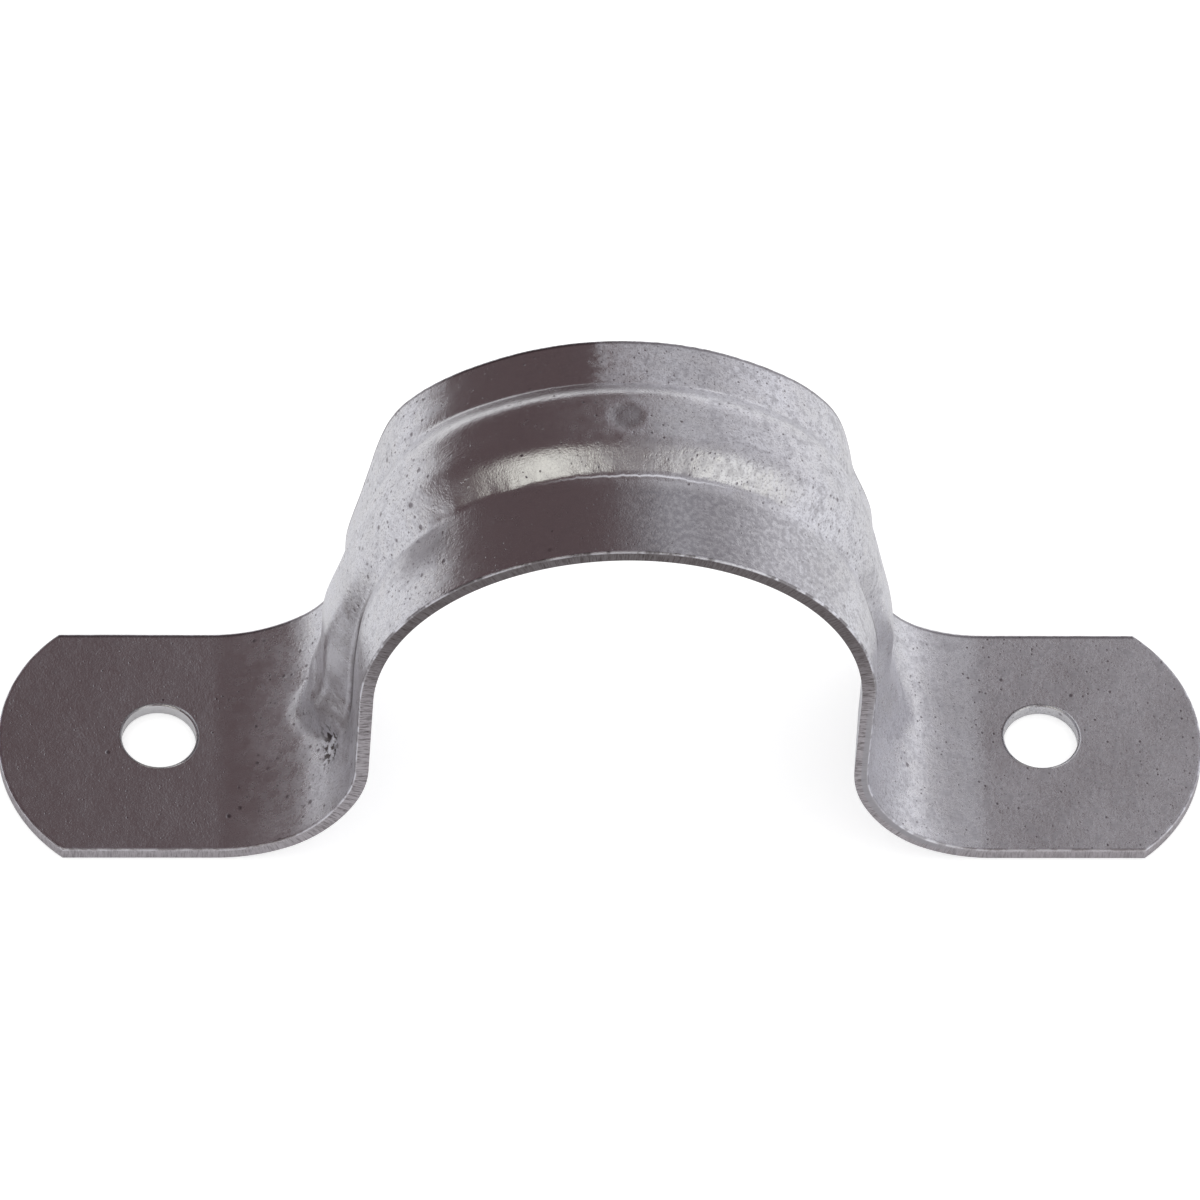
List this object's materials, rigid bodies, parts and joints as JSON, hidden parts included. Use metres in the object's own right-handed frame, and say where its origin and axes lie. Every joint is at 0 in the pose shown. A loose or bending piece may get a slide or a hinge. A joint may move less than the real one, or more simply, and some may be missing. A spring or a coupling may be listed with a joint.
{
  "type": "conduit strap",
  "caption": "Two-hole conduit strap, one ribbed strip of galvanised sheet formed over a conduit with a flat foot on each side.",
  "frame": {"origin": "on the mounting surface, midway between the tips of the two feet and midway across the strip", "axes": "+X along the strip from foot to foot, +Y along the conduit, towards the edge that the rib is nearer, +Z away from the mounting surface"},
  "size_m": [0.1056, 0.023, 0.0476],
  "materials": {
    "galvanised_steel": "hot-dip galvanised, satin with fine spangle"
  },
  "bodies": {
    "root": {"strap": "galvanised_steel"}
  },
  "joints": []
}
